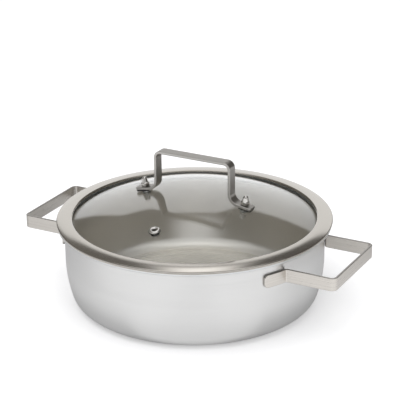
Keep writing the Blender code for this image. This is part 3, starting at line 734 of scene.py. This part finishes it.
def offset_line(points, distance):
    """The open line moved sideways, to the left of its direction, by a distance."""
    moved = []
    for index, point in enumerate(points):
        before = Vector(points[max(index - 1, 0)])
        after = Vector(points[min(index + 1, len(points) - 1)])
        here = Vector(point)
        into = (here - before).normalized() if index > 0 else (after - here).normalized()
        out = (after - here).normalized() if index < len(points) - 1 else into
        bisector = Vector((-(into.y + out.y), into.x + out.x)).normalized()
        moved.append(tuple(here + bisector * distance / bisector.dot(Vector((-into.y, into.x)))))
    return moved


def band_outline():
    """The section of the band: its folded sheet, and the skirt with its foot."""
    hem = (band_outer - BAND_SHEET / 2 - HEM_RADIUS, lid_seat + BAND_SHEET / 2 + HEM_RADIUS)
    nose_radius = BAND_INNER_RADIUS + BAND_SHEET / 2 + NOSE_RADIUS
    crown_radius = band_outer - CROWN_INSET
    hem_reach = CROWN_RADIUS - HEM_RADIUS
    nose_reach = CROWN_RADIUS - NOSE_RADIUS
    hem_angle = math.acos((hem[0] - crown_radius) / hem_reach)
    nose_angle = math.acos((nose_radius - crown_radius) / nose_reach)
    crown = (crown_radius, hem[1] - hem_reach * math.sin(hem_angle))
    nose = (nose_radius, crown[1] + nose_reach * math.sin(nose_angle))
    middle = [
        *arc(nose, NOSE_RADIUS, NOSE_TURN, nose_angle, 14),
        *arc(crown, CROWN_RADIUS, nose_angle, hem_angle, 26)[1:-1],
        *arc(hem, HEM_RADIUS, hem_angle, -math.pi / 2, 16),
        (hem[0] - HEM_RETURN, hem[1] - HEM_RADIUS),
    ]
    under = offset_line(middle, -BAND_SHEET / 2)
    outside = [point for point in under if point[0] > skirt_outer + BAND_SHEET / 2]
    inside = [point for point in under if point[0] < skirt_inner - BAND_SHEET / 2]
    join = under[len(inside)][1]
    hook = skirt_inner - HOOK_WIDTH
    skirt = [
        (skirt_outer, join),
        (skirt_outer, skirt_bottom),
        (hook, skirt_bottom),
        (hook, skirt_bottom + BAND_SHEET),
        (skirt_inner, skirt_bottom + BAND_SHEET),
        (skirt_inner, join),
    ]
    top = offset_line(middle, BAND_SHEET / 2)
    return top + list(reversed(outside)) + skirt + list(reversed(inside))


band = band_outline()
# Its tint paints shade and a warm reflection on the band.
band_steel = brushed_steel("brushed_band_steel_painted_shade", BAND_PAINTED_SHADE_TINT, roughness=0.14, spread=0.6)
finished(
    "rim_band",
    turned_shape(eased(band, BAND_EASE), POT_STEPS),
    band_steel,
    body="lid",
    stands_for="lid_rim_band",
    slot="bright_steel",
)

# Rim seal: a silicone channel, moulded as a ring and pressed over the edge of the glass. It fills the
# room under the band and keeps steel and glass apart. Its dark grey tint draws a dark line between
# them.
SEAL_WALL = 0.0012
SEAL_TUCK = 0.0004
SEAL_TINT = (0.24, 0.24, 0.235)


def silicone(name, tint, roughness, clearness=0.0):
    """Matt silicone rubber, a little uneven, that lets some light into it."""
    made, tree, shader, place = new_finish(name)
    cloud = wire(tree, "TexNoise", {"Vector": place, "Scale": 220.0, "Detail": 3.0}).outputs[0]
    dark = tuple(share * 0.85 for share in tint)
    tree.links.new(blend_colour(tree, cloud, dark, tint), shader.inputs["Base Color"])
    dull = figure(tree, "MULTIPLY_ADD", cloud, 0.16, roughness - 0.08)
    tree.links.new(dull, shader.inputs["Roughness"])
    bump = wire(tree, "Bump", {"Strength": 0.3, "Distance": 0.00003, "Height": cloud})
    tree.links.new(bump.outputs[0], shader.inputs["Normal"])
    shader.inputs["Transmission Weight"].default_value = clearness
    return made


nose_low = min(height for radius, height in band if radius < skirt_inner and height > lid_seat)
seal_top = nose_low - SEAT_GAP
seal_bottom = skirt_bottom + BAND_SHEET + SEAT_GAP
seal_lip = BAND_INNER_RADIUS + SEAL_TUCK
seal_foot = skirt_inner - HOOK_WIDTH
seal_groove = glass_edge + SEAT_GAP
seal_outer = seal_groove + SEAL_WALL
outline = [
    (seal_lip, seal_top),
    (seal_outer, seal_top),
    (seal_outer, seal_bottom),
    (seal_foot, seal_bottom),
    (seal_foot, dome_height(seal_foot, GLASS_THICKNESS) - SEAT_GAP),
    (seal_groove, dome_height(seal_groove, GLASS_THICKNESS) - SEAT_GAP),
    (seal_groove, dome_height(seal_groove) + SEAT_GAP),
    (seal_lip, dome_height(seal_lip) + SEAT_GAP),
]
finished(
    "rim_seal",
    turned_shape(eased(outline, BAND_EASE), POT_STEPS),
    silicone("grey_rim_silicone", SEAL_TINT, roughness=0.42),
    body="lid",
    stands_for="lid_rim_seal",
    slot="dark_silicone",
)

# Lid handle: a flat steel strap bent into a bridge, whose two feet lie along the slope of the glass.
# Each foot has a hole for its bolt. It is brushed along its length, with tumbled edges. Its faces are
# tinted dark, a painted shade, and its edges light, a painted highlight.
GRIP_THICKNESS = 0.0030
GRIP_SPAN = 0.0936
GRIP_TOP_BEND = 0.0065
GRIP_FOOT_BEND = 0.0110
FOOT_TOE = 0.0103
FOOT_CORNER = 0.0030
FOOT_HOLE = 0.0028
GASKET_THICKNESS = 0.0012
# Faces darker and warmer than the steel is, a painted shade; edges lighter, a painted highlight.
GRIP_PAINTED_SHADE_TINT = (0.35, 0.335, 0.315)
GRIP_EDGE_PAINTED_HIGHLIGHT_TINT = (0.56, 0.545, 0.52)

foot_underside = SEAT_GAP + GASKET_THICKNESS + SEAT_GAP
foot_top = foot_underside + GRIP_THICKNESS
slope = math.asin(BOLT_DISTANCE / dome_radius)
outward = Vector((math.cos(slope), -math.sin(slope)))
normal = Vector((math.sin(slope), math.cos(slope)))
bolt_foot = Vector((BOLT_DISTANCE, dome_height(BOLT_DISTANCE)))
bolt_foot += normal * (foot_underside + GRIP_THICKNESS / 2)
thin = GRIP_THICKNESS / 2
leg = GRIP_SPAN / 2 - thin
low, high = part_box("lid_handle")
bar = high.z - thin
half = (high.y - low.y) / 2
stations = []
for distance in strap_end_distances(FOOT_CORNER):
    point = bolt_foot + outward * (FOOT_TOE - distance)
    stations.append((tuple(point), *strap_end(distance, FOOT_CORNER, half, thin)))
across = (leg + GRIP_FOOT_BEND - bolt_foot.x) * normal.x
centre = (leg + GRIP_FOOT_BEND, bolt_foot.y + (GRIP_FOOT_BEND - across) / normal.y)
line = arc(centre, GRIP_FOOT_BEND, 1.5 * math.pi - slope, math.pi, 18)
line += arc((leg - GRIP_TOP_BEND, bar - GRIP_TOP_BEND), GRIP_TOP_BEND, 0.0, math.pi / 2, 16)
stations += [(point, half, thin) for point in line]
stations += [((-x, z), *sizes) for (x, z), *sizes in reversed(stations)]
shape = strap_shape(stations, lambda x, z, over: (x, over, z))
mark_edges(shape, (0, 1, 0))
holes = [drill(dome_frame(x, 0.0), FOOT_HOLE, 2 * foot_top) for x in (BOLT_DISTANCE, -BOLT_DISTANCE)]
# The faces carry a painted shade, the edges a painted highlight.
grip_steel = brushed_steel(
    "brushed_lid_handle_steel", GRIP_PAINTED_SHADE_TINT, roughness=0.34, across=(0, 1, 0), **strap_marks
)
grip_edge_steel = brushed_steel(
    "tumbled_lid_handle_edge_painted_highlight", GRIP_EDGE_PAINTED_HIGHLIGHT_TINT, roughness=0.34, **edge_marks
)
finished(
    "bridge_handle",
    carved(shape, holes),
    grip_steel,
    grip_edge_steel,
    body="lid",
    stands_for="lid_handle",
    slot="satin_steel",
)

# Acorn nuts: M5 domed nuts of polished steel, machined from hexagon bar. The flats end in the arcs
# that a chamfer leaves on them, and a blind hole takes the end of the bolt.
NUT_ACROSS_FLATS = 0.0090
NUT_HEX_HEIGHT = 0.0042
NUT_HEIGHT = 0.0105
NUT_DOME_RADIUS = 0.0031
NUT_THREAD_DEPTH = 0.0070
NUT_CHAMFER = 0.0008
NUT_STEPS = 144
NUT_SOFTNESS = 0.00006  # how far an edge between two flats is broken
NUT_FACE_INSET = 0.0004  # the faces end outside the neck by this
NUT_NECK_RISE = 0.0002
NUT_WELL_INSIDE = 30  # softnesses from a flat where the blank is left alone
NUT_TINT = (0.62, 0.605, 0.58)

nut_base = foot_top + SEAT_GAP


def press_flats(shape, across_flats):
    """The turned blank loses what stands past the six flats, with edges that are barely broken."""
    for vert in shape.verts:
        radius = math.hypot(vert.co.x, vert.co.y)
        if radius < HAIR:
            continue
        around = math.atan2(vert.co.y, vert.co.x) % (math.pi / 3) - math.pi / 6
        flat = across_flats / 2 / math.cos(around)
        gap = (flat - radius) / NUT_SOFTNESS
        if gap > NUT_WELL_INSIDE:
            continue
        kept = flat - NUT_SOFTNESS * math.log1p(math.exp(gap))
        vert.co.x *= kept / radius
        vert.co.y *= kept / radius


def polished_steel(name, tint, roughness):
    """Bright steel with faint wiping marks."""
    made, tree, shader, place = new_finish(name)
    cloud = wire(tree, "TexNoise", {"Vector": place, "Scale": 420.0, "Detail": 3.0}).outputs[0]
    dark = tuple(share * 0.94 for share in tint)
    tree.links.new(blend_colour(tree, cloud, dark, tint), shader.inputs["Base Color"])
    dull = figure(tree, "MULTIPLY_ADD", cloud, roughness, roughness / 2)
    tree.links.new(dull, shader.inputs["Roughness"])
    bump = wire(tree, "Bump", {"Strength": 0.2, "Distance": 0.00001, "Height": cloud})
    tree.links.new(bump.outputs[0], shader.inputs["Normal"])
    shader.inputs["Metallic"].default_value = 1.0
    return made


corner = NUT_ACROSS_FLATS / math.sqrt(3)
hex_top = nut_base + NUT_HEX_HEIGHT
neck = NUT_ACROSS_FLATS / 2 - NUT_CHAMFER
face_radius = neck + NUT_FACE_INSET
chamfer = [
    (corner + (face_radius - corner) * share, hex_top - NUT_CHAMFER * (1 - share))
    for share in (step / 12 for step in range(13))
]
nut_outline = [
    (0.0, nut_base + NUT_HEIGHT),
    *arc((0.0, nut_base + NUT_HEIGHT - NUT_DOME_RADIUS), NUT_DOME_RADIUS, math.pi / 2, 0, 14)[1:],
    (neck, hex_top + NUT_NECK_RISE),
    *reversed(chamfer),
    (corner, nut_base + NUT_CHAMFER / 2),
    (face_radius, nut_base),
    (FOOT_HOLE, nut_base),
    (FOOT_HOLE, nut_base + NUT_THREAD_DEPTH),
    (0.0, nut_base + NUT_THREAD_DEPTH + SEAT_GAP),
]
nut_steel = polished_steel("polished_nut_steel", NUT_TINT, roughness=0.035)
for sign, label in ((1, "right"), (-1, "left")):
    shape = turned_shape(nut_outline, NUT_STEPS)
    press_flats(shape, NUT_ACROSS_FLATS)
    finished(
        label + "_acorn_nut",
        shape,
        nut_steel,
        body="lid",
        stands_for="acorn_nut_" + label,
        slot="bright_steel",
        at=dome_frame(sign * BOLT_DISTANCE, 0.0),
    )

# Foot gaskets: silicone strips between the feet of the handle and the glass, cut to the outline of a
# foot with a hole for the bolt. Their near-black tint draws a dark line under each foot. The bolt
# clamps them, so their edges bulge a little.
GASKET_INSET = 0.0004
GASKET_HEEL = 0.0058
RUBBER_TINT = (0.035, 0.035, 0.036)

gasket_half = half - GASKET_INSET
gasket_corner = FOOT_CORNER - GASKET_INSET
gasket_toe = FOOT_TOE - GASKET_INSET
bulge = GASKET_THICKNESS / 2


def gasket_shape(sign):
    """The strip, as rings of its outline that follow the bulge of its edge."""
    shape = bmesh.new()
    rings = []
    for reach, height in arc((-bulge, SEAT_GAP + bulge), bulge, math.pi / 2, -math.pi / 2, 10):
        line = rounded_box(-GASKET_HEEL, gasket_toe, gasket_half, gasket_corner, 8, reach)
        rings.append([shape.verts.new((sign * x, y, height)) for x, y in line])
    skin(shape, rings)
    return shape


dark_silicone = silicone("dark_silicone", RUBBER_TINT, roughness=0.5)
for sign, label in ((1, "right"), (-1, "left")):
    hole = drill(Matrix.Identity(4), FOOT_HOLE, 2 * GASKET_THICKNESS)
    finished(
        label + "_foot_gasket",
        carved(gasket_shape(sign), [hole]),
        dark_silicone,
        body="lid",
        stands_for="foot_gasket_" + label,
        slot="dark_silicone",
        at=dome_frame(sign * BOLT_DISTANCE, 0.0),
    )

# Handle bolts: M5 screws with tall round heads that come up from inside the lid, each with a polished
# backing washer and a translucent silicone grommet whose collar lines the hole in the glass.
SMALL_STEPS = 96
SHANK_RADIUS = 0.0025
SHANK_CHAMFER = 0.0005
HEAD_RADIUS = 0.0035
HEAD_HEIGHT = 0.0070
HEAD_CROWN = 0.0008
RECESS_LENGTH = 0.0042
RECESS_WIDTH = 0.0010
RECESS_DEPTH = 0.0016
GROMMET_RADIUS = 0.0045
GROMMET_THICKNESS = 0.0008
GROMMET_WALL = 0.0004
WASHER_RADIUS = 0.0042
WASHER_THICKNESS = 0.0008
SMALL_EASE = 0.00025
# Lighter than the nuts' steel: painted light on the bolts and washers under the glass.
BOLT_PAINTED_LIGHT_TINT = (0.90, 0.89, 0.87)
GROMMET_TINT = (0.72, 0.73, 0.70)

grommet_top = -GLASS_THICKNESS - SEAT_GAP
washer_top = grommet_top - GROMMET_THICKNESS - SEAT_GAP
head_top = washer_top - WASHER_THICKNESS - SEAT_GAP
head_face = head_top - HEAD_HEIGHT
shank_tip = nut_base + NUT_THREAD_DEPTH - SEAT_GAP
crown = (HEAD_RADIUS**2 + HEAD_CROWN**2) / (2 * HEAD_CROWN)
edge = math.asin(HEAD_RADIUS / crown) - math.pi / 2
bolt_outline = [
    (0.0, shank_tip),
    (SHANK_RADIUS - SHANK_CHAMFER, shank_tip),
    (SHANK_RADIUS, shank_tip - SHANK_CHAMFER),
    (SHANK_RADIUS, head_top),
    (HEAD_RADIUS, head_top),
    *arc((0.0, head_face + crown), crown, edge, -math.pi / 2, 10)[:-1],
    (0.0, head_face),
]
grommet_outline = [
    (FOOT_HOLE, -SEAT_GAP),
    (FOOT_HOLE + GROMMET_WALL, -SEAT_GAP),
    (FOOT_HOLE + GROMMET_WALL, grommet_top),
    (GROMMET_RADIUS, grommet_top),
    (GROMMET_RADIUS, grommet_top - GROMMET_THICKNESS),
    (FOOT_HOLE, grommet_top - GROMMET_THICKNESS),
]
washer_outline = [
    (FOOT_HOLE, washer_top),
    (WASHER_RADIUS, washer_top),
    (WASHER_RADIUS, washer_top - WASHER_THICKNESS),
    (FOOT_HOLE, washer_top - WASHER_THICKNESS),
]


def cross_recess(shape):
    """The drive of the screw, two slots cut across its face."""
    slots = []
    for sides in ((RECESS_LENGTH, RECESS_WIDTH), (RECESS_WIDTH, RECESS_LENGTH)):
        slots.append(bmesh.new())
        at = Matrix.Translation((0, 0, head_face)) @ Matrix.Diagonal((*sides, 2 * RECESS_DEPTH, 1))
        bmesh.ops.create_cube(slots[-1], size=1.0, matrix=at)
    return carved(shape, slots)


# The bolts and washers are tinted light, a painted light under the glass.
bolt_steel = polished_steel("plated_bolt_steel_painted_light", BOLT_PAINTED_LIGHT_TINT, roughness=0.30)
clear_silicone = silicone("translucent_silicone", GROMMET_TINT, roughness=0.42, clearness=0.35)
for sign, label in ((1, "right"), (-1, "left")):
    at = dome_frame(sign * BOLT_DISTANCE, 0.0)
    finished(
        label + "_handle_bolt",
        cross_recess(turned_shape(eased(bolt_outline, SMALL_EASE), SMALL_STEPS)),
        bolt_steel,
        body="lid",
        stands_for="handle_bolt_" + label,
        slot="bright_steel",
        at=at,
    )
    finished(
        label + "_backing_washer",
        turned_shape(eased(washer_outline, SMALL_EASE), SMALL_STEPS),
        bolt_steel,
        body="lid",
        stands_for="backing_washer_" + label,
        slot="bright_steel",
        at=at,
    )
    finished(
        label + "_bolt_grommet",
        turned_shape(eased(grommet_outline, SMALL_EASE), SMALL_STEPS),
        clear_silicone,
        body="lid",
        stands_for="bolt_grommet_" + label,
        slot="clear_silicone",
        at=at,
    )

# Steam vent: a polished steel eyelet in a dark silicone ring. Its round flange stands on the ring,
# and its tube goes through the glass and is clinched over on the inside.
VENT_BORE_RADIUS = 0.0022
VENT_TUBE_RADIUS = 0.0027
VENT_FLANGE_RADIUS = 0.0060
VENT_FLANGE_HEIGHT = 0.0018
VENT_FLANGE_EDGE = 0.0003
VENT_SEAL_WALL = 0.0006
VENT_SEAL_FLANGE = 0.0006
VENT_SEAL_LAP = 0.0025
VENT_SEAL_BARB = 0.0006
VENT_CLINCH_HEIGHT = 0.0008
# Lighter than the nuts' steel: a painted light on the eyelet.
EYELET_PAINTED_LIGHT_TINT = (0.74, 0.725, 0.70)

vent_at = dome_frame(0.0, -VENT_DISTANCE)
seal_bore = VENT_TUBE_RADIUS + SEAT_GAP
seal_collar = seal_bore + VENT_SEAL_WALL
seal_flange = VENT_HOLE_RADIUS + VENT_SEAL_LAP
seal_barb = VENT_HOLE_RADIUS + VENT_SEAL_BARB
outline = [
    (seal_bore, SEAT_GAP + VENT_SEAL_FLANGE),
    (seal_flange, SEAT_GAP + VENT_SEAL_FLANGE),
    (seal_flange, SEAT_GAP),
    (seal_collar, SEAT_GAP),
    (seal_collar, -GLASS_THICKNESS - SEAT_GAP),
    (seal_barb, -GLASS_THICKNESS - SEAT_GAP),
    (seal_barb, -GLASS_THICKNESS - SEAT_GAP - VENT_SEAL_FLANGE),
    (seal_bore, -GLASS_THICKNESS - SEAT_GAP - VENT_SEAL_FLANGE),
]
finished(
    "vent_ring",
    turned_shape(eased(outline, SMALL_EASE), SMALL_STEPS),
    dark_silicone,
    body="lid",
    stands_for="vent_seal",
    slot="dark_silicone",
    at=vent_at,
)

vent_top = SEAT_GAP + VENT_SEAL_FLANGE + SEAT_GAP
vent_clinch = -GLASS_THICKNESS - SEAT_GAP - VENT_SEAL_FLANGE - SEAT_GAP
flange_middle = (VENT_BORE_RADIUS + VENT_FLANGE_RADIUS) / 2
flange_half = (VENT_FLANGE_RADIUS - VENT_BORE_RADIUS) / 2
flange_edge = vent_top + VENT_FLANGE_EDGE
flange_rise = VENT_FLANGE_HEIGHT - VENT_FLANGE_EDGE
outline = [
    *[
        (flange_middle + flange_half * across, flange_edge + flange_rise * up)
        for across, up in arc((0.0, 0.0), 1.0, math.pi, 0.0, 32)
    ],
    (VENT_FLANGE_RADIUS, vent_top),
    (VENT_TUBE_RADIUS, vent_top),
    (VENT_TUBE_RADIUS, vent_clinch),
    (seal_barb, vent_clinch),
    (seal_barb, vent_clinch - VENT_CLINCH_HEIGHT),
    (VENT_BORE_RADIUS, vent_clinch - VENT_CLINCH_HEIGHT),
]
finished(
    "steam_eyelet",
    turned_shape(eased(outline, SMALL_EASE), SMALL_STEPS),
    # Its tint paints light on the eyelet.
    polished_steel("polished_eyelet_steel_painted_light", EYELET_PAINTED_LIGHT_TINT, roughness=0.07),
    body="lid",
    stands_for="vent_eyelet",
    slot="bright_steel",
    at=vent_at,
)
